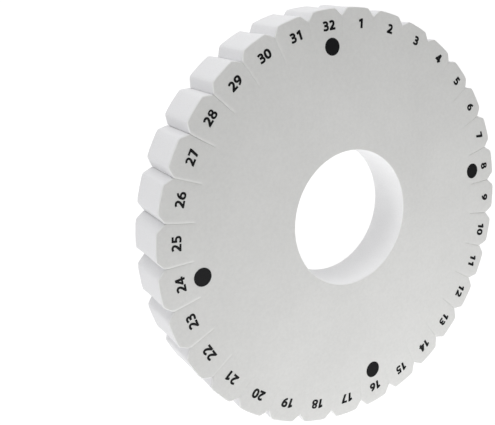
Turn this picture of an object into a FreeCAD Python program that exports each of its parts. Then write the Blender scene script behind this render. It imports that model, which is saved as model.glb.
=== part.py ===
import FreeCAD, Part

import math
import os

# Braiding disc: one die-cut slab of dense closed-cell foam with a round
# centre hole, 32 tabs parted by V notches, a cord slit running inward from
# every notch, and a black printed scale on the upper face: the numbers 1 to
# 32, one on each tab, and four round marks inside 32, 8, 16 and 24.
#
# Frame: lying flat, millimetres. Z = 0 is the underside, +Z is out of the
# printed face, +Y points to number 32 and +X to number 8. Numbers run
# clockwise seen from above.

V = FreeCAD.Vector

# ---- driving dimensions (mm) -------------------------------------------------
DISC_D = 152.4            # across opposite tabs
THICK = 17.2              # foam sheet
HOLE_D = 50.0             # centre hole
EDGE_R = 0.6              # soft rounding of the cut edges, top and bottom

TABS = 32                 # tabs, notches and slits
NOTCH_DEPTH = 2.7         # rim to the bottom of a V notch
NOTCH_HALF_W = 2.75       # half width of a V notch at the rim
NOTCH_ROOT_R = 0.35       # radius at the bottom of the V
SHOULDER_R = 1.6          # rounded shoulder between notch side and tab end

SLIT_END_R = 63.3         # disc radius where a slit ends
SLIT_W = 0.30             # kerf that the cutting blade leaves

PRINT_DX = 0.7            # the print sits a little off the cut outline
PRINT_DY = 0.05
PRINT_TURN = -0.5         # degrees, clockwise
INK = 0.05                # ink film
NUMBER_R = 70.35          # circle through the middle of the numbers
DIGIT_H = 3.3             # digit height
DIGIT_ADVANCE = 0.82      # digit pitch, in digit heights
MARK_R = 62.9             # circle through the four marks
MARK_D = 6.2              # mark diameter
SPREAD = 0.09             # most that the ink has spread past its outline
SPREAD_AT = 9.5           # number where the print is heaviest
# The printed scale isn't quite even: how far each number, 1 to 32, stands
# outside its circle and how far on clockwise, and the same for the marks.
OUT = (0.00, -0.11, 0.00, 0.18, 0.19, 0.21, 0.19, 0.20,
       0.32, 0.22, 0.16, 0.21, 0.09, 0.12, 0.11, -0.05,
       -0.27, -0.43, -0.48, -0.36, -0.41, -0.59, -0.61, -0.44,
       -0.29, -0.22, -0.03, 0.13, 0.09, 0.03, -0.03, 0.02)
ON = (0.06, 0.11, 0.19, 0.32, 0.48, 0.31, 0.15, -0.08,
      -0.22, -0.34, -0.34, -0.47, -0.54, -0.49, -0.31, -0.19,
      -0.12, 0.06, 0.20, 0.38, 0.46, 0.32, 0.20, -0.12,
      -0.27, -0.17, -0.41, -0.60, -0.61, -0.66, -0.52, -0.33)
MARK_OUT = {8: 0.42, 16: 0.09, 24: -0.71, 32: 0.08}
MARK_ON = {8: 0.24, 16: 0.09, 24: -0.33, 32: 0.0}

R = DISC_D / 2.0
PITCH = 2.0 * math.pi / TABS


# ---- small helpers -----------------------------------------------------------
def polar(radius, angle):
    """Point at an angle measured clockwise from +Y."""
    return (radius * math.sin(angle), radius * math.cos(angle))


def fillet_corner(p0, p1, p2, radius):
    """Tangent points and middle point of an arc that rounds the corner p1."""
    ax, ay = p0[0] - p1[0], p0[1] - p1[1]
    bx, by = p2[0] - p1[0], p2[1] - p1[1]
    la, lb = math.hypot(ax, ay), math.hypot(bx, by)
    ax, ay, bx, by = ax / la, ay / la, bx / lb, by / lb
    half = math.acos(max(-1.0, min(1.0, ax * bx + ay * by))) / 2.0
    run = radius / math.tan(half)
    t0 = (p1[0] + ax * run, p1[1] + ay * run)
    t2 = (p1[0] + bx * run, p1[1] + by * run)
    mx, my = ax + bx, ay + by
    lm = math.hypot(mx, my)
    reach = radius / math.sin(half)
    c = (p1[0] + mx / lm * reach, p1[1] + my / lm * reach)
    mid = (c[0] - mx / lm * radius, c[1] - my / lm * radius)
    return t0, mid, t2


def v3(p, z=0.0):
    return V(p[0], p[1], z)


# ---- foam disc ---------------------------------------------------------------
def disc_outline():
    """Closed outline of the 32 tabs: end of tab, shoulder, notch side, root."""
    notch = NOTCH_HALF_W / R              # half angle of a notch at the rim
    edges = []
    rounds = []
    for k in range(TABS):
        c = (k + 0.5) * PITCH             # notch after number k
        left = polar(R, c - notch)        # rim corner before the notch
        root = polar(R - NOTCH_DEPTH, c)
        right = polar(R, c + notch)
        # the tab end is an arc: its chord direction at the corner is close
        # enough to the tangent for the shoulder's arc
        before = polar(R, c - notch - 0.02)
        after = polar(R, c + notch + 0.02)
        rounds.append((fillet_corner(before, left, root, SHOULDER_R),
                       fillet_corner(left, root, right, NOTCH_ROOT_R),
                       fillet_corner(root, right, after, SHOULDER_R)))
    for k in range(TABS):
        (a0, am, a2), (b0, bm, b2), (c0, cm, c2) = rounds[k]
        edges.append(Part.Arc(v3(a0), v3(am), v3(a2)).toShape())
        edges.append(Part.LineSegment(v3(a2), v3(b0)).toShape())
        edges.append(Part.Arc(v3(b0), v3(bm), v3(b2)).toShape())
        edges.append(Part.LineSegment(v3(b2), v3(c0)).toShape())
        edges.append(Part.Arc(v3(c0), v3(cm), v3(c2)).toShape())
        nxt = rounds[(k + 1) % TABS][0][0]
        mid = polar(R, (k + 1) * PITCH)
        edges.append(Part.Arc(v3(c2), v3(mid), v3(nxt)).toShape())
    return Part.Wire(Part.__sortEdges__(edges))


def slit(k):
    """Cutting tool of one slit: from inside the notch to its blind end."""
    r0, r1 = SLIT_END_R, R - NOTCH_DEPTH + 0.6
    w = SLIT_W / 2.0
    pts = [V(-w, r0 + w, -1), V(-w, r1, -1), V(w, r1, -1), V(w, r0 + w, -1)]
    e = [Part.LineSegment(pts[0], pts[1]).toShape(),
         Part.LineSegment(pts[1], pts[2]).toShape(),
         Part.LineSegment(pts[2], pts[3]).toShape(),
         Part.Arc(pts[3], V(0, r0, -1), pts[0]).toShape()]
    s = Part.Face(Part.Wire(e)).extrude(V(0, 0, THICK + 2))
    s.rotate(V(0, 0, 0), V(0, 0, 1), -math.degrees((k + 0.5) * PITCH))
    return s


def foam_disk():
    body = Part.Face(disc_outline()).extrude(V(0, 0, THICK))
    body = body.cut(Part.makeCylinder(HOLE_D / 2.0, THICK + 2, V(0, 0, -1)))
    rims = [e for e in body.Edges
            if abs(e.BoundBox.ZMax - e.BoundBox.ZMin) < 1e-6]
    body = body.makeFillet(EDGE_R, rims)
    body = body.cut([slit(k) for k in range(TABS)])
    return body.Solids[0]


# ---- digits ------------------------------------------------------------------
# Each digit is drawn in a box one unit high from its own strokes. Polygons go
# counter-clockwise, rings are an outer and an inner oval.
W = 0.245                 # stroke width of upright strokes
WH = 0.205                # stroke width of level strokes
N_ARC = 20


def oval(cx, cy, rx, ry, n=40, power=2.25):
    pts = []
    for i in range(n):
        t = 2 * math.pi * i / n
        c, s = math.cos(t), math.sin(t)
        pts.append((cx + rx * math.copysign(abs(c) ** (2 / power), c),
                    cy + ry * math.copysign(abs(s) ** (2 / power), s)))
    return pts


def ring(cx, cy, rx, ry, w=W, wh=WH, n=40):
    """Oval stroke: outer size rx by ry, thinner across the top and bottom."""
    return ("ring", oval(cx, cy, rx, ry, n), oval(cx, cy, rx - w, ry - wh, n))


def bezier(p0, p1, p2, p3, n=N_ARC):
    out = []
    for i in range(n + 1):
        t = i / n
        u = 1 - t
        out.append(tuple(u ** 3 * a + 3 * u * u * t * b + 3 * u * t * t * c
                         + t ** 3 * d for a, b, c, d in zip(p0, p1, p2, p3)))
    return out


def stroke(path, w0=W, w1=None):
    """Polygon round a centre line, its width going from w0 to w1."""
    w1 = w0 if w1 is None else w1
    left, right = [], []
    n = len(path)
    for i, (x, y) in enumerate(path):
        a, b = path[max(0, i - 1)], path[min(n - 1, i + 1)]
        tx, ty = b[0] - a[0], b[1] - a[1]
        tl = math.hypot(tx, ty)
        nx, ny = -ty / tl, tx / tl
        h = (w0 + (w1 - w0) * i / (n - 1)) / 2.0
        left.append((x + nx * h, y + ny * h))
        right.append((x - nx * h, y - ny * h))
    return ("poly", left + right[::-1])


def poly(*pts):
    return ("poly", list(pts))


def turned(parts, cx, cy):
    """The same strokes turned half a turn about a point."""
    out = []
    for p in parts:
        out.append((p[0],) + tuple([(2 * cx - x, 2 * cy - y) for x, y in q]
                                   for q in p[1:]))
    return out


SIX = [ring(0.395, 0.325, 0.375, 0.325, 0.235, 0.195),
       stroke(bezier((0.142, 0.33), (0.145, 0.66), (0.31, 0.835),
                     (0.60, 0.905)), 0.235, 0.19)]

DIGITS = {
    "0": (0.80, [ring(0.40, 0.50, 0.39, 0.50)]),
    "1": (0.66, [poly((0.300, 0.0), (0.545, 0.0), (0.545, 1.0), (0.370, 1.0),
                      (0.045, 0.835), (0.125, 0.635), (0.300, 0.715))]),
    "2": (0.76, [stroke(bezier((0.115, 0.815), (0.32, 0.960), (0.590, 0.925),
                               (0.590, 0.695))
                        + bezier((0.590, 0.695), (0.590, 0.50), (0.36, 0.34),
                                 (0.190, 0.14))[1:], WH, W),
                 poly((0.03, 0.0), (0.745, 0.0), (0.745, WH), (0.20, WH),
                      (0.10, 0.235), (0.03, 0.15))]),
    "3": (0.76, [stroke(bezier((0.100, 0.850), (0.35, 0.955), (0.585, 0.900),
                               (0.585, 0.715))
                        + bezier((0.585, 0.715), (0.585, 0.59), (0.45, 0.530),
                                 (0.27, 0.530))[1:], WH, WH * 1.06),
                 stroke(bezier((0.27, 0.530), (0.49, 0.530), (0.620, 0.455),
                               (0.620, 0.300))
                        + bezier((0.620, 0.300), (0.620, 0.075), (0.34, 0.045),
                                 (0.070, 0.145))[1:], WH * 1.06, WH),
                 poly((0.20, 0.425), (0.38, 0.425), (0.38, 0.635),
                      (0.20, 0.635))]),
    "4": (0.82, [poly((0.430, 0.0), (0.670, 0.0), (0.670, 1.0), (0.430, 1.0)),
                 poly((0.0, 0.190), (0.815, 0.190), (0.815, 0.385),
                      (0.0, 0.385)),
                 poly((0.0, 0.285), (0.235, 0.285), (0.655, 1.0),
                      (0.405, 1.0))]),
    "5": (0.76, [poly((0.125, 0.80), (0.670, 0.80), (0.670, 1.0),
                      (0.125, 1.0)),
                 poly((0.095, 0.44), (0.300, 0.44), (0.345, 1.0),
                      (0.125, 1.0)),
                 stroke(bezier((0.185, 0.525), (0.41, 0.615), (0.625, 0.535),
                               (0.625, 0.325))
                        + bezier((0.625, 0.325), (0.625, 0.075), (0.34, 0.045),
                                 (0.070, 0.145))[1:], WH, WH)]),
    "6": (0.80, SIX),
    "7": (0.77, [poly((0.04, 0.80), (0.735, 0.80), (0.735, 1.0), (0.04, 1.0)),
                 poly((0.165, 0.0), (0.425, 0.0), (0.735, 0.81), (0.735, 1.0),
                      (0.500, 1.0))]),
    "8": (0.78, [ring(0.39, 0.740, 0.325, 0.260, 0.205, 0.155),
                 ring(0.39, 0.295, 0.375, 0.295, 0.225, 0.170)]),
    "9": (0.80, turned(SIX, 0.40, 0.5)),
}


def flat_face(points):
    pts = [V(x * DIGIT_H, y * DIGIT_H, 0) for x, y in points]
    clean = [pts[0]]
    for p in pts[1:]:
        if p.distanceToPoint(clean[-1]) > 1e-3:
            clean.append(p)
    if clean[-1].distanceToPoint(clean[0]) < 1e-3:
        clean.pop()
    return Part.Face(Part.makePolygon(clean + [clean[0]]))


def digit_solid(name, spread):
    """Ink film of one digit, lower left corner at the origin, its outline
    moved outward by the ink's spread."""
    solids = []
    for p in DIGITS[name][1]:
        f = flat_face(p[1])
        if p[0] == "ring":
            f = f.cut(flat_face(p[2]))
        for g in f.Faces:
            if g.normalAt(0, 0).z < 0:
                g.reverse()
            solids.append(g.extrude(V(0, 0, INK)))
    s = solids[0]
    for t in solids[1:]:
        s = s.fuse(t)
    s = s.removeSplitter()
    if spread > 0.02:
        base = [f for f in s.Faces if abs(f.BoundBox.ZMax) < 1e-7][0]
        wide = base.makeOffset2D(spread)
        if wide.Faces[0].normalAt(0, 0).z < 0:
            wide.reverse()
        s = wide.Faces[0].extrude(V(0, 0, INK))
    if len(s.Solids) != 1 or not s.isValid() or s.Volume <= 0:
        raise RuntimeError("digit %s: %d solids, valid %s"
                           % (name, len(s.Solids), s.isValid()))
    return s.Solids[0]


def ink_spread(n):
    """The screen print is heaviest at one side of the disc and thins out
    towards the other."""
    share = (1.0 + math.cos((n - SPREAD_AT) * PITCH)) / 2.0
    return round(SPREAD * share ** 0.45, 3)


def print_place(shape, angle):
    """Moves a shape drawn for number 32 to its angle in the printed scale."""
    shape.rotate(V(0, 0, 0), V(0, 0, 1), -math.degrees(angle) + PRINT_TURN)
    shape.translate(V(PRINT_DX, PRINT_DY, THICK))
    return shape


def number(n):
    """The digits of one number, upright towards the rim, on its tab."""
    text = str(n)
    widths = [DIGITS[c][0] for c in text]
    total = DIGIT_ADVANCE * (len(text) - 1) * DIGIT_H
    out = []
    for i, c in enumerate(text):
        s = digit_solid(c, ink_spread(n))
        x = i * DIGIT_ADVANCE * DIGIT_H - total / 2.0
        x -= widths[i] * DIGIT_H / 2.0
        s.translate(V(x, NUMBER_R + OUT[n - 1] - DIGIT_H / 2.0, 0))
        out.append(print_place(s, n * PITCH + ON[n - 1] / NUMBER_R))
    return out[0] if len(out) == 1 else Part.makeCompound(out)


def mark(n):
    """Round mark on the inner side of a number."""
    s = Part.makeCylinder(MARK_D / 2.0, INK, V(0, MARK_R + MARK_OUT[n], 0))
    return print_place(s, n * PITCH + MARK_ON[n] / MARK_R)


# ---- write -------------------------------------------------------------------
os.makedirs("parts", exist_ok=True)

nodes = {"foam_disk": foam_disk()}
for n in range(1, TABS + 1):
    nodes["number_%02d" % n] = number(n)
for n in (32, 8, 16, 24):
    nodes["round_mark_%02d" % n] = mark(n)

for name, shape in nodes.items():
    if not shape.isValid():
        raise RuntimeError(name + " is not valid")
    shape.exportStep("parts/%s.step" % name)

d = nodes["foam_disk"]
print("foam_disk", [round(x, 3) for x in (d.BoundBox.XMin, d.BoundBox.XMax,
      d.BoundBox.YMin, d.BoundBox.YMax, d.BoundBox.ZMin, d.BoundBox.ZMax)],
      "volume cm3", round(d.Volume / 1000, 2), "faces", len(d.Faces))
print(len(nodes), "nodes")
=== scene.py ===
import math

import bpy
import bmesh
import numpy as np
from mathutils import Matrix, Vector


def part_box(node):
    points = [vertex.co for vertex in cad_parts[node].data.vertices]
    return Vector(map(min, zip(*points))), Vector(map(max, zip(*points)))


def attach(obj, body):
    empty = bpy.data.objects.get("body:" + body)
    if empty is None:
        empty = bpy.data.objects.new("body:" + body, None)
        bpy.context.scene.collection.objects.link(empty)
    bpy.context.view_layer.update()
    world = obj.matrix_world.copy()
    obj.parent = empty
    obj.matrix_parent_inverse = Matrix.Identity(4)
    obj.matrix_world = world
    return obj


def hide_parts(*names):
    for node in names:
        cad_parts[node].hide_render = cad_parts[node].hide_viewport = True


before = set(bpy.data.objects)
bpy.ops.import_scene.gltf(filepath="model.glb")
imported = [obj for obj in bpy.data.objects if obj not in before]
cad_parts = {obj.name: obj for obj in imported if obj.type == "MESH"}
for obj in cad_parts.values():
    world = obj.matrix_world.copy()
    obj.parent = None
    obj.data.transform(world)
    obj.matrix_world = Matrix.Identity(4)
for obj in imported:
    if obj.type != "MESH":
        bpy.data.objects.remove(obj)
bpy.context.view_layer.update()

# Braiding disc of dense closed-cell foam, lying flat. Metres, in the frame of
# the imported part: Z = 0 is the underside, +Z is out of the printed face,
# +Y points to number 32 and +X to number 8, numbers run clockwise.

# ---- sizes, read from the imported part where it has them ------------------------
low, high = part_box("foam_disk")
THICK = high.z
R = 76.2                    # mm, tab ends
HOLE_R = 25.0               # mm
TABS = 32
PITCH = 2.0 * math.pi / TABS
HALF = PITCH / 2.0
NOTCH_DEPTH = 2.7
NOTCH_HALF_W = 2.75
SHOULDER_R = 1.6
SLIT_END = 63.3
T = THICK * 1000.0          # mm

KERF = 0.010                # half of the gap between two lips that touch
ROOT_GAP = 0.07             # the same at the bottom of a notch, where it opens
LIP_R = 0.34                # width of the rounding of a lip
RIM_R = 0.42                # rounding of the cut rim
HOLE_EDGE = 0.35            # rounding of the hole's two edges
LEAN = (0.32, 0.95)         # the cut leans: the underside lies this far aside
rng = np.random.RandomState(20817)

# How far each slit has been worked, by the number before it: the roll of its
# lips, the depth in mm of the shallow valley that lies along it, how far in mm
# the tab after it stands above the tab before it, and how strongly a painted
# highlight lightens the skin on the edge of that tab.
LIPS = {32: .05, 1: .04, 2: .06, 3: .05, 4: .05, 5: .25, 6: .32, 7: .60, 8: .62,
        9: .85, 10: .60, 11: .45, 12: .45, 13: .26, 14: .16, 15: .09, 16: .10,
        17: .05, 18: .05, 19: .06, 20: .09, 21: .18, 22: .20, 23: .15, 24: .32,
        25: .48, 26: .27, 27: .50, 28: .38, 29: .24, 30: .20, 31: .05}
VALLEY = {32: .015, 1: .010, 2: .015, 3: .012, 4: .015, 5: .055, 6: .060,
          7: .100, 8: .120, 9: .160, 10: .100, 11: .090, 12: .070, 13: .045,
          14: .030, 15: .015, 16: .020, 17: .012, 18: .012, 19: .020, 20: .035,
          21: .045, 22: .070, 23: .090, 24: .110, 25: .110, 26: .090, 27: .100,
          28: .080, 29: .060, 30: .050, 31: .012}
LIFT = {21: .05, 22: .10, 23: .12, 24: .10, 25: .10, 26: .10, 27: .08, 28: .08,
        29: .06, 30: .05, 31: .02}
LIP_HIGHLIGHT = {21: .45, 22: .85, 23: 1.0, 24: .85, 25: .65, 26: .75, 27: .40, 28: .45,
          29: .28, 30: .20, 31: .06}
# how far in mm each tab end stands outside the circle
REACH = {2: -.06, 3: -.20, 4: -.25, 5: -.18, 7: .18, 8: .32, 9: .42, 10: .45,
         11: .47, 12: .45, 13: .50, 14: .54, 15: .66, 16: .36, 17: .06}
LIPS = np.array([LIPS[k if k else TABS] for k in range(TABS)])
VALLEY = np.array([VALLEY[k if k else TABS] for k in range(TABS)])
LIFT = np.array([LIFT.get(k, 0.0) for k in range(TABS)])
LIP_HIGHLIGHT = np.array([LIP_HIGHLIGHT.get(k, 0.0) for k in range(TABS)])
REACH = np.array([REACH.get(k, 0.0) for k in range(TABS)])


def smooth(x, a, b):
    """0 below a, 1 above b, smooth between."""
    t = np.clip((np.asarray(x, float) - a) / (b - a), 0.0, 1.0)
    return t * t * (3.0 - 2.0 * t)


# ---- outline of one notch side: radius against distance from the slit ----------
def notch_side():
    """Dense points (q, radius, slope angle) from the root of a V notch to the
    middle of a tab, q being the distance from the radial line of the slit."""
    ang = NOTCH_HALF_W / R
    root = np.array([0.0, R - NOTCH_DEPTH])
    rim = np.array([R * math.sin(ang), R * math.cos(ang)])
    far = np.array([R * math.sin(ang + 0.02), R * math.cos(ang + 0.02)])
    a = (root - rim) / np.linalg.norm(root - rim)
    b = (far - rim) / np.linalg.norm(far - rim)
    half = math.acos(float(a @ b)) / 2.0
    run = SHOULDER_R / math.tan(half)
    t0, t1 = rim + a * run, rim + b * run
    m = (a + b) / np.linalg.norm(a + b)
    c = rim + m * SHOULDER_R / math.sin(half)
    pts = [root + (t0 - root) * f for f in np.linspace(0, 1, 12)]
    a0 = math.atan2(*(t0 - c)[::-1])
    a1 = math.atan2(*(t1 - c)[::-1])
    if a1 > a0:
        a1 -= 2 * math.pi
    pts += [c + SHOULDER_R * np.array([math.cos(s), math.sin(s)])
            for s in np.linspace(a0, a1, 14)[1:]]
    g0 = math.atan2(t1[0], t1[1])
    pts += [np.array([R * math.sin(s), R * math.cos(s)])
            for s in np.linspace(g0, HALF, 10)[1:]]
    pts = np.array(pts)
    q = pts[:, 0]
    rad = np.hypot(pts[:, 0], pts[:, 1])
    d = np.gradient(rad) / np.maximum(np.gradient(q), 1e-6)
    return q, rad, np.arctan(d)


NQ, NR, NB = notch_side()


# ---- grid of one tab -----------------------------------------------------------
LIP_T = np.radians([0, 22.5, 45, 67.5, 90])
RIM_T = np.radians([90, 72, 54, 36, 18, 0])
q_near = list(KERF + LIP_R * (1 - np.cos(LIP_T))) + [0.56, 0.76, 1.05, 1.42,
                                                     1.85, 2.35, 2.9]
q_far = [0.30, 0.62, 1.0]           # shares of the way from there to the middle
N_HALF = len(q_near) + len(q_far)
COLS = 2 * N_HALF - 1               # columns of a tab, both slits included

hole_rows = [HOLE_R + HOLE_EDGE * (1 - math.cos(t)) for t in RIM_T[::-1]]
inner_rows = [25.42, 26.4, 27.6, 29.6, 32.6, 36.6, 41.0, 45.5, 50.0, 54.0, 57.5,
              60.0, 61.6, 62.5, 62.95, SLIT_END, 63.6, 64.0, 64.6, 65.4, 66.4,
              67.6, 69.0, 70.4]
fixed = hole_rows + inner_rows
ROW_SLIT = fixed.index(SLIT_END)
blend_rows = [0.3, 0.58, 0.8, 0.94]  # shares of the way to the rim's rounding
ROWS = len(fixed) + len(blend_rows) + len(RIM_T)

# each tab is its own: a little lower or higher lip, a little more or less cut
tab_len = REACH + rng.uniform(-0.05, 0.04, TABS)
lip_l = rng.uniform(-0.10, 0.06, TABS)
lip_r = rng.uniform(-0.10, 0.06, TABS)
slit_stop = rng.uniform(-0.35, 0.35, TABS)
dimple = rng.uniform(0.0, 0.08, TABS)


def columns(radius):
    """Distances from the slit line of the half tab's columns at a radius."""
    mid = radius * math.sin(HALF)
    near = np.array(q_near)
    far = near[-1] + (mid - near[-1]) * np.array(q_far)
    q = np.concatenate([near, far])
    if radius < 62.5:                      # spread out towards the hole
        q62 = np.concatenate([near, near[-1] + (62.5 * math.sin(HALF) - near[-1])
                              * np.array(q_far)]) * radius / 62.5
        even = mid * np.linspace(0, 1, N_HALF) ** 1.15
        u = float(smooth(62.5 - radius, 0.0, 22.0))
        q = q62 * (1 - u) + even * u
    if radius <= SLIT_END + 1e-9:
        q[0] = 0.0
    return q


def ripple(x, seed, waves=6, low=1.0, high=6.0):
    """Smooth wandering of unit size along x, the same each run."""
    r = np.random.RandomState(seed)
    out = np.zeros_like(np.asarray(x, float))
    for _ in range(waves):
        out = out + np.sin(x * r.uniform(low, high) + r.uniform(0, 6.28)) \
            * r.uniform(0.4, 1.0)
    return out / math.sqrt(waves)


def half_tab(k, side):
    """x along the tab, radius, top height and the wall data of a half tab.
    side -1 is the half next to the slit before the number, +1 the one after."""
    slit_i = (k - 1) % TABS if side < 0 else k
    worn, valley = LIPS[slit_i], VALLEY[slit_i]
    lip = (lip_l if side < 0 else lip_r)[k] * min(1.0, valley / 0.12) * 0.6 \
        - 0.5 * LIFT[slit_i] * side
    rho = np.zeros((ROWS, N_HALF))
    q = np.zeros((ROWS, N_HALF))
    drop = np.zeros((ROWS, N_HALF))
    for i, r in enumerate(fixed):
        rho[i] = r
        q[i] = columns(r)
        if i < len(hole_rows):
            drop[i] += HOLE_EDGE * (1 - math.sin(RIM_T[::-1][i]))
    # the last rows follow the outline of the notch and the tab end
    qe = columns(R - 0.6)
    out_r = np.interp(qe, NQ, NR) + tab_len[k] * smooth(qe, 0.4, 3.0)
    slope = np.interp(qe, NQ, NB)
    sec = 1.0 / np.cos(slope)
    start = out_r - RIM_R * sec
    n0 = len(fixed)
    for j, f in enumerate(blend_rows):
        rho[n0 + j] = fixed[-1] + (start - 0.10 - fixed[-1]) * f
        q[n0 + j] = qe
    n1 = n0 + len(blend_rows)
    for j, t in enumerate(RIM_T):
        rho[n1 + j] = out_r - RIM_R * (1 - math.cos(t)) * sec
        q[n1 + j] = qe
        drop[n1 + j] += RIM_R * (1 - math.sin(t))
    # columns keep their distance from the slit: the middle ones follow the tab
    for i in range(n0, ROWS):
        mid = rho[i] * np.sin(HALF)
        near = np.array(q_near)
        q[i] = np.concatenate([near, near[-1] + (mid[len(near):] - near[-1])
                               * np.array(q_far)])
    # the gap opens towards the bottom of the notch
    spread = np.zeros(N_HALF)
    spread[:5] = (1.0, 0.86, 0.62, 0.34, 0.12)
    q += (ROOT_GAP - KERF) * spread[None, :] * smooth(rho, 72.7, 73.5)
    # slit lips: rolled where the blade went in, a shallow valley along them, a
    # small dimple at the inner end, and a lip that stands a little up or down
    stop = SLIT_END + 0.25 * slit_stop[slit_i]
    open_ = smooth(rho, stop, stop + 0.9)
    lip_drop = np.zeros(N_HALF)
    lip_drop[:5] = LIP_R * (1 - np.sin(LIP_T))
    share = worn + (1.0 - worn) * 0.35 * smooth(rho, 72.6, 73.4)
    drop += lip_drop[None, :] * open_ * share
    drop += valley * np.exp(-(q / 0.66) ** 2) * smooth(rho, stop - 0.5, stop + 1.2)
    drop += (0.2 * valley + dimple[slit_i]) * np.exp(-(q / 0.5) ** 2) \
        * np.exp(-((rho - stop - 0.3) / 0.5) ** 2)
    drop -= lip * np.exp(-(q / 1.9) ** 2) * smooth(rho, SLIT_END, 67.5)
    # the rim is pressed down a little as well
    rim_gap = out_r[None, :] - rho
    drop += 0.06 * np.exp(-(rim_gap / 1.1) ** 2) * (rho > 68)
    # painted highlight: a pale band on the skin of the tab after the slit, just beside
    # it, for light on its raised lip
    highlight = np.zeros((ROWS, N_HALF))
    if side < 0:
        highlight = LIP_HIGHLIGHT[slit_i] * np.exp(-((q - 0.30) / 0.36) ** 2) \
            * smooth(rho, stop, stop + 0.8)
    return rho, q, drop, highlight


verts = []
faces = []
top_id = np.zeros((TABS, ROWS, COLS), int)
bot_id = np.zeros((TABS, ROWS, COLS), int)


def place(k, rho, q, side):
    """Plan position of a point at a radius and a distance from a slit line."""
    ang = -HALF + np.arcsin(np.clip(q / rho, -1, 1))
    ang = np.where(np.abs(ang) < 1e-9, 0.0, ang)
    phi = k * PITCH + (ang if side < 0 else -ang)
    return rho * np.sin(phi), rho * np.cos(phi)


grid_xy = np.zeros((TABS, ROWS, COLS, 2))
grid_top = np.zeros((TABS, ROWS, COLS))
grid_bot = np.zeros((TABS, ROWS, COLS))
grid_highlight = np.zeros((TABS, ROWS, COLS))
for k in range(TABS):
    for side in (-1, 1):
        rho, q, drop, highlight = half_tab(k, side)
        x, y = place(k, rho, q, side)
        cols = np.arange(N_HALF) if side < 0 else COLS - 1 - np.arange(N_HALF)
        grid_xy[k, :, cols, 0] = x.T
        grid_xy[k, :, cols, 1] = y.T
        grid_top[k, :, cols] = (T - drop).T
        grid_highlight[k, :, cols] = highlight.T
        # the underside: the blade comes out there, so its lips are sharper
        under = np.zeros_like(drop)
        rim = np.zeros(ROWS)
        n1 = ROWS - len(RIM_T)
        rim[n1:] = RIM_R * (1 - np.sin(RIM_T))
        rim[:len(hole_rows)] = HOLE_EDGE * (1 - np.sin(RIM_T[::-1]))
        under += rim[:, None]
        lipd = np.zeros(N_HALF)
        lipd[:5] = LIP_R * 0.8 * (1 - np.sin(LIP_T))
        under += lipd[None, :] * smooth(rho, SLIT_END, SLIT_END + 0.9)
        grid_bot[k, :, cols] = under.T

# neighbouring tabs share their columns from the hole to the slit's end
count = 0
lip_highlight = []
for k in range(TABS):
    for i in range(ROWS):
        for j in range(COLS):
            if j == 0 and i <= ROW_SLIT and k > 0:
                top_id[k, i, j] = top_id[k - 1, i, COLS - 1]
                continue
            if j == COLS - 1 and i <= ROW_SLIT and k == TABS - 1:
                top_id[k, i, j] = top_id[0, i, 0]
                continue
            top_id[k, i, j] = count
            count += 1
            lip_highlight.append(grid_highlight[k, i, j])
            verts.append((grid_xy[k, i, j, 0], grid_xy[k, i, j, 1],
                          grid_top[k, i, j]))
n_top = count
bot_id = top_id + n_top
bottom = [None] * n_top
for k in range(TABS):
    for i in range(ROWS):
        for j in range(COLS):
            bottom[top_id[k, i, j]] = (grid_xy[k, i, j, 0], grid_xy[k, i, j, 1],
                                       grid_bot[k, i, j])
verts += bottom

for k in range(TABS):
    a = top_id[k]
    b = bot_id[k]
    for i in range(ROWS - 1):
        for j in range(COLS - 1):
            faces.append((a[i, j], a[i + 1, j], a[i + 1, j + 1], a[i, j + 1]))
            faces.append((b[i, j], b[i, j + 1], b[i + 1, j + 1], b[i + 1, j]))

# ---- walls ---------------------------------------------------------------------
STEPS = [0.0, 0.04, 0.11, 0.2, 0.31, 0.43, 0.56, 0.69, 0.8, 0.89, 0.96, 1.0]


def wall(loop, outward, amount, closed):
    """Skin between the upper and the lower edge along a list of grid ids, with
    the middle drawn in a little by the cut. outward is per point."""
    global verts
    up = np.array([verts[i] for i in loop])
    dn = np.array([verts[i + n_top] for i in loop])
    rings = [list(loop)]
    for s in STEPS[1:-1]:
        p = up + (dn - up) * s
        p[:, :2] += outward * (amount(s))[:, None]
        base = len(verts)
        verts += [tuple(v) for v in p]
        rings.append(list(range(base, base + len(p))))
    rings.append([i + n_top for i in loop])
    m = len(loop)
    for a, b in zip(rings[:-1], rings[1:]):
        for i in range(m if closed else m - 1):
            j = (i + 1) % m
            faces.append((a[i], a[j], b[j], b[i]))


def plan_normals(pts, closed):
    """Normals to the right of the walk along the loop, in plan."""
    if closed:
        t = np.roll(pts, -1, 0) - np.roll(pts, 1, 0)
    else:
        t = np.gradient(pts, axis=0)
    n = np.stack([-t[:, 1], t[:, 0]], 1)
    return n / np.maximum(np.linalg.norm(n, axis=1), 1e-9)[:, None]


# outer wall: all tabs in one closed loop, in and out of every slit
loop = []
hold = []
for k in range(TABS):
    rows = range(ROW_SLIT, ROWS)
    loop += [top_id[k, i, 0] for i in rows]
    hold += [0.0] * len(rows)
    loop += [top_id[k, ROWS - 1, j] for j in range(1, COLS - 1)]
    hold += [1.0] * (COLS - 2)
    back = [i for i in reversed(rows)][:-1]
    loop += [top_id[k, i, COLS - 1] for i in back]
    hold += [0.0] * len(back)
hold = np.array(hold)
pts = np.array([verts[i][:2] for i in loop])
along = np.concatenate([[0], np.cumsum(np.linalg.norm(np.diff(pts, axis=0), axis=1))])
outward = plan_normals(pts, True)
radial = pts / np.linalg.norm(pts, axis=1)[:, None]
flip = np.sign((outward * radial).sum(1).mean())
outward = outward * (flip if flip else 1.0)
soft = np.convolve(np.concatenate([hold[-3:], hold, hold[:3]]),
                   np.ones(7) / 7, "valid") * hold


def outer_amount(s):
    draw = -0.16 * 4 * s * (1 - s)
    wav = 0.035 * ripple(along / 3.1, 5, 7, 0.3, 2.2) \
        + 0.02 * ripple(along / 1.3 + s * 7.0, 9, 6, 0.5, 2.0)
    return (draw + wav * math.sin(math.pi * s)) * soft


wall(loop, outward, outer_amount, True)

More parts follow.
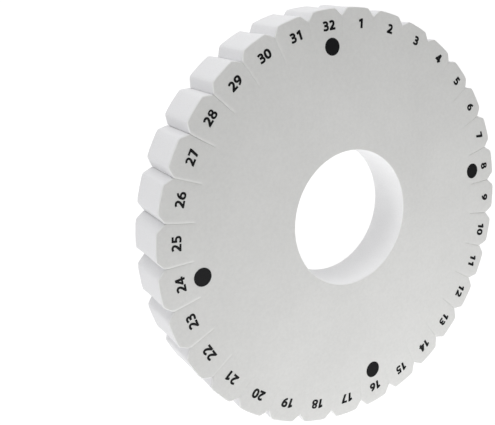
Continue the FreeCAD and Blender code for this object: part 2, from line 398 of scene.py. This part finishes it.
ring = []
for k in range(TABS):
    ring += [top_id[k, 0, j] for j in range(COLS - 1)]
pts = np.array([verts[i][:2] for i in ring])
inward = -pts / np.linalg.norm(pts, axis=1)[:, None]
turn = np.arctan2(pts[:, 0], pts[:, 1])


def hole_amount(s):
    return -0.12 * 4 * s * (1 - s) + 0.03 * math.sin(math.pi * s) * (
        np.sin(3 * turn + 0.4) + 0.6 * np.sin(8 * turn + 1.9 + 2 * s))


wall(ring, inward, hole_amount, True)

# ---- make the foam object --------------------------------------------------------
mesh = bpy.data.meshes.new("foam_slab")
verts = np.array(verts)
verts[:, :2] += (1.0 - np.clip(verts[:, 2:] / T, 0.0, 1.0)) * np.array(LEAN)
mesh.from_pydata((verts / 1000.0).tolist(), [], faces)
mesh.validate()
bm = bmesh.new()
bm.from_mesh(mesh)
bmesh.ops.recalc_face_normals(bm, faces=bm.faces)
for f in bm.faces:
    f.smooth = True
bm.to_mesh(mesh)
bm.free()
# painted highlight along the slits, stored per vertex for the material
highlight_attr = mesh.attributes.new("lip_highlight", "FLOAT", "POINT")
highlight_attr.data.foreach_set("value", lip_highlight + [0.0] * (len(mesh.vertices) - len(lip_highlight)))
foam = bpy.data.objects.new("foam_slab", mesh)
bpy.context.scene.collection.objects.link(foam)

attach(foam, "root")
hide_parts("foam_disk")


# ---- materials -------------------------------------------------------------------
def new_material(name):
    m = bpy.data.materials.new(name)
    m.use_nodes = True
    nt = m.node_tree
    return m, nt, nt.nodes["Principled BSDF"]


def link(nt, a, b):
    nt.links.new(a, b)


def ramp(nt, fac, stops):
    n = nt.nodes.new("ShaderNodeValToRGB")
    while len(n.color_ramp.elements) > len(stops):
        n.color_ramp.elements.remove(n.color_ramp.elements[-1])
    while len(n.color_ramp.elements) < len(stops):
        n.color_ramp.elements.new(0.5)
    for e, (pos, col) in zip(n.color_ramp.elements, stops):
        e.position = pos
        e.color = (*col, 1.0) if len(col) == 3 else col
    link(nt, fac, n.inputs[0])
    return n


def noise(nt, coords, scale, detail=2.0, rough=0.5, distortion=0.0):
    n = nt.nodes.new("ShaderNodeTexNoise")
    n.inputs["Scale"].default_value = scale
    n.inputs["Detail"].default_value = detail
    n.inputs["Roughness"].default_value = rough
    n.inputs["Distortion"].default_value = distortion
    link(nt, coords, n.inputs["Vector"])
    return n


def math_node(nt, op, a, b=None, clamp=False):
    n = nt.nodes.new("ShaderNodeMath")
    n.operation = op
    n.use_clamp = clamp
    for i, v in enumerate((a, b)):
        if v is None:
            continue
        if isinstance(v, (int, float)):
            n.inputs[i].default_value = v
        else:
            link(nt, v, n.inputs[i])
    return n.outputs[0]


def mix_rgb(nt, fac, a, b, mode="MIX"):
    n = nt.nodes.new("ShaderNodeMix")
    n.data_type = "RGBA"
    n.blend_type = mode
    if isinstance(fac, (int, float)):
        n.inputs[0].default_value = fac
    else:
        link(nt, fac, n.inputs[0])
    for sock, v in ((n.inputs[6], a), (n.inputs[7], b)):
        if isinstance(v, (tuple, list)):
            sock.default_value = (*v, 1.0) if len(v) == 3 else v
        else:
            link(nt, v, sock)
    return n.outputs[2]


def foam_material():
    m, nt, bsdf = new_material("eva_foam")
    obj = nt.nodes.new("ShaderNodeTexCoord").outputs["Object"]
    geo = nt.nodes.new("ShaderNodeNewGeometry")
    sep = nt.nodes.new("ShaderNodeSeparateXYZ")
    link(nt, geo.outputs["Normal"], sep.inputs[0])
    flat = math_node(nt, "ABSOLUTE", sep.outputs[2])
    # distance from the axis in the plan, times ten: hole edge, slits, rim
    plan = nt.nodes.new("ShaderNodeVectorMath")
    plan.operation = "MULTIPLY"
    plan.inputs[1].default_value = (1.0, 1.0, 0.0)
    link(nt, obj, plan.inputs[0])
    reach = nt.nodes.new("ShaderNodeVectorMath")
    reach.operation = "LENGTH"
    link(nt, plan.outputs[0], reach.inputs[0])
    far = math_node(nt, "MULTIPLY", reach.outputs["Value"], 10.0)
    slits = ramp(nt, far, [(0.262, (0, 0, 0)), (0.275, (1, 1, 1)),
                           (0.723, (1, 1, 1)), (0.738, (0, 0, 0))]).outputs[0]
    edge_skin = ramp(nt, flat, [(0.86, (0, 0, 0)), (0.975, (1, 1, 1))]).outputs[0]
    slit_skin = ramp(nt, flat, [(0.20, (0, 0, 0)), (0.45, (1, 1, 1))]).outputs[0]
    skin = mix_rgb(nt, slits, edge_skin, slit_skin)
    # mask of the rounded edges, which are painted paler below as a highlight
    rim_highlight = ramp(nt, flat, [(0.14, (0, 0, 0)), (0.42, (1, 1, 1))]).outputs[0]
    # slow cloudiness of the sheet and a fine mottle of its cells
    cloud = noise(nt, obj, 38.0, 3.0, 0.55)
    cloud_c = ramp(nt, cloud.outputs["Fac"], [(0.30, (0.752, 0.752, 0.738)),
                                              (0.70, (0.790, 0.790, 0.776))])
    mottle = noise(nt, obj, 900.0, 4.0, 0.62)
    mottle_c = ramp(nt, mottle.outputs["Fac"], [(0.34, (0.955, 0.955, 0.955)),
                                                (0.66, (1.0, 1.0, 1.0))])
    face_c = mix_rgb(nt, 1.0, cloud_c.outputs[0], mottle_c.outputs[0], "MULTIPLY")
    # painted highlight: skin painted paler just beside the slits, standing in for light
    # on the raised lips
    highlight_attr = nt.nodes.new("ShaderNodeAttribute")
    highlight_attr.attribute_type = "GEOMETRY"
    highlight_attr.attribute_name = "lip_highlight"
    face_c = mix_rgb(nt, highlight_attr.outputs["Fac"], face_c, (0.880, 0.880, 0.868))
    # the cut walls show open cells; the bottom of each cell pit is painted darker as
    # shade
    cells = nt.nodes.new("ShaderNodeTexVoronoi")
    cells.inputs["Scale"].default_value = 2600.0
    cells.inputs["Randomness"].default_value = 1.0
    link(nt, obj, cells.inputs["Vector"])
    pit_shade = ramp(nt, cells.outputs["Distance"], [(0.10, (0.93, 0.93, 0.93)),
                                                (0.42, (1.0, 1.0, 1.0))])
    # painted light: the hole's wall is painted whiter than the outer cut wall, for light
    # reaching into the hole
    hole_wall_light = ramp(nt, far, [(0.35, (0.862, 0.862, 0.868)), (0.60, (0.752, 0.752, 0.764))])
    cut_c = mix_rgb(nt, 1.0, hole_wall_light.outputs[0], pit_shade.outputs[0], "MULTIPLY")
    # painted highlight: the rounded edges between skin and cut wall are painted paler
    # than either, where light catches the bend
    wall_c = mix_rgb(nt, rim_highlight, cut_c, (0.850, 0.850, 0.843))
    color = mix_rgb(nt, skin, wall_c, face_c)
    link(nt, color, bsdf.inputs["Base Color"])
    # sheen of the skin wanders, the cut walls are dull
    wander = noise(nt, obj, 160.0, 2.0, 0.5)
    rough_face = ramp(nt, wander.outputs["Fac"], [(0.3, (0.70, 0.70, 0.70)),
                                                  (0.7, (0.80, 0.80, 0.80))])
    rough = mix_rgb(nt, skin, (0.93, 0.93, 0.93, 1.0), rough_face.outputs[0])
    link(nt, rough, bsdf.inputs["Roughness"])
    bsdf.inputs["Specular IOR Level"].default_value = 0.28
    # bump: fine grain on the skin, open cells on the walls
    grain = noise(nt, obj, 2400.0, 3.0, 0.6)
    skin_h = math_node(nt, "MULTIPLY", grain.outputs["Fac"], 0.45)
    wall_h = math_node(nt, "MULTIPLY", cells.outputs["Distance"], 1.0)
    height = mix_rgb(nt, skin, wall_h, skin_h)
    bump = nt.nodes.new("ShaderNodeBump")
    bump.inputs["Strength"].default_value = 0.35
    bump.inputs["Distance"].default_value = 0.00008
    link(nt, height, bump.inputs["Height"])
    link(nt, bump.outputs[0], bsdf.inputs["Normal"])
    return m


def ink_material():
    m, nt, bsdf = new_material("black_print")
    obj = nt.nodes.new("ShaderNodeTexCoord").outputs["Object"]
    lay = noise(nt, obj, 1500.0, 4.0, 0.6)
    col = ramp(nt, lay.outputs["Fac"], [(0.30, (0.009, 0.009, 0.010)),
                                        (0.62, (0.004, 0.004, 0.005))])
    link(nt, col.outputs[0], bsdf.inputs["Base Color"])
    rough = ramp(nt, lay.outputs["Fac"], [(0.3, (0.62, 0.62, 0.62)),
                                          (0.7, (0.50, 0.50, 0.50))])
    link(nt, rough.outputs[0], bsdf.inputs["Roughness"])
    bsdf.inputs["Specular IOR Level"].default_value = 0.14
    bump = nt.nodes.new("ShaderNodeBump")
    bump.inputs["Strength"].default_value = 0.25
    bump.inputs["Distance"].default_value = 0.00003
    link(nt, lay.outputs["Fac"], bump.inputs["Height"])
    link(nt, bump.outputs[0], bsdf.inputs["Normal"])
    return m


foam.data.materials.append(foam_material())
ink = ink_material()
for name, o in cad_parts.items():
    if name != "foam_disk":
        o.data.materials.clear()
        o.data.materials.append(ink)

# ---- floor and light ---------------------------------------------------------------
floor_mesh = bpy.data.meshes.new("floor")
n = 96
ring_v = [(3.0 * math.cos(2 * math.pi * i / n), 3.0 * math.sin(2 * math.pi * i / n),
           -0.00004) for i in range(n)]
floor_mesh.from_pydata(ring_v, [], [tuple(range(n))])
floor = bpy.data.objects.new("floor", floor_mesh)
bpy.context.scene.collection.objects.link(floor)
fm, fnt, fb = new_material("floor_white")
fb.inputs["Base Color"].default_value = (0.16, 0.16, 0.16, 1.0)
fb.inputs["Roughness"].default_value = 0.9
fb.inputs["Specular IOR Level"].default_value = 0.0
fb.inputs["Emission Color"].default_value = (1.0, 1.0, 1.0, 1.0)
fb.inputs["Emission Strength"].default_value = 0.95
floor.data.materials.append(fm)

world = bpy.data.worlds.new("studio")
world.use_nodes = True
bpy.context.scene.world = world
wnt = world.node_tree
bg = wnt.nodes["Background"]
tc = wnt.nodes.new("ShaderNodeTexCoord")
wsep = wnt.nodes.new("ShaderNodeSeparateXYZ")
wnt.links.new(tc.outputs["Generated"], wsep.inputs[0])
wr = ramp(wnt, wsep.outputs[2], [(0.0, (1.01, 1.01, 1.01)),
                                 (0.16, (1.005, 1.005, 1.005)),
                                 (0.42, (0.286, 0.286, 0.286)),
                                 (1.0, (0.286, 0.286, 0.286))])
wnt.links.new(wr.outputs[0], bg.inputs["Color"])
bg.inputs["Strength"].default_value = 1.0


def area(name, loc, target, size, power, color=(1, 1, 1)):
    light = bpy.data.lights.new(name, "AREA")
    light.shape = "RECTANGLE"
    light.size, light.size_y = size
    light.energy = power
    light.color = color
    o = bpy.data.objects.new(name, light)
    o.location = loc
    o.rotation_euler = (Vector(target) - Vector(loc)).to_track_quat("-Z", "Y").to_euler()
    bpy.context.scene.collection.objects.link(o)
    return o


area("above_front", (0.02, -0.15, 0.26), (0.02, -0.10, 0.0), (0.20, 0.20), 0.40)
area("near_left_front", (-0.38, -0.42, 0.20), (0.0, -0.02, 0.0), (0.30, 0.24), 0.75)
area("left_front_low", (-0.62, -0.50, 0.12), (0.0, 0.0, 0.0), (0.5, 0.20), 0.31)
area("far_back", (0.0, 0.80, 0.14), (0.0, 0.05, 0.0), (0.8, 0.24), 1.93)

# ---- camera: the photograph's view ---------------------------------------------------
W_PX, H_PX = 495.0, 425.0
F_PX = 719.288
PP = (322.0, 130.0)
cam_data = bpy.data.cameras.new("camera")
cam = bpy.data.objects.new("camera", cam_data)
bpy.context.scene.collection.objects.link(cam)
rot = Matrix(((0.7990006, 0.2468928, -0.5483082),
              (-0.1348629, 0.9621714, 0.2367239),
              (0.5860119, -0.1151961, 0.8020722)))
cam.matrix_world = Matrix.Translation((-0.1454453, 0.0947687,
                                       0.2011953 + THICK)) @ rot.to_4x4()
cam_data.sensor_fit = "HORIZONTAL"
cam_data.sensor_width = 36.0
cam_data.lens = F_PX / W_PX * 36.0
cam_data.shift_x = -(PP[0] - W_PX / 2) / W_PX
cam_data.shift_y = (PP[1] - H_PX / 2) / W_PX
cam_data.clip_start = 0.01
cam_data.clip_end = 20.0
bpy.context.scene.camera = cam

bpy.context.scene.view_settings.view_transform = "Standard"
bpy.context.scene.view_settings.look = "None"
bpy.context.scene.view_settings.exposure = 0.0
bpy.context.scene.view_settings.gamma = 1.0
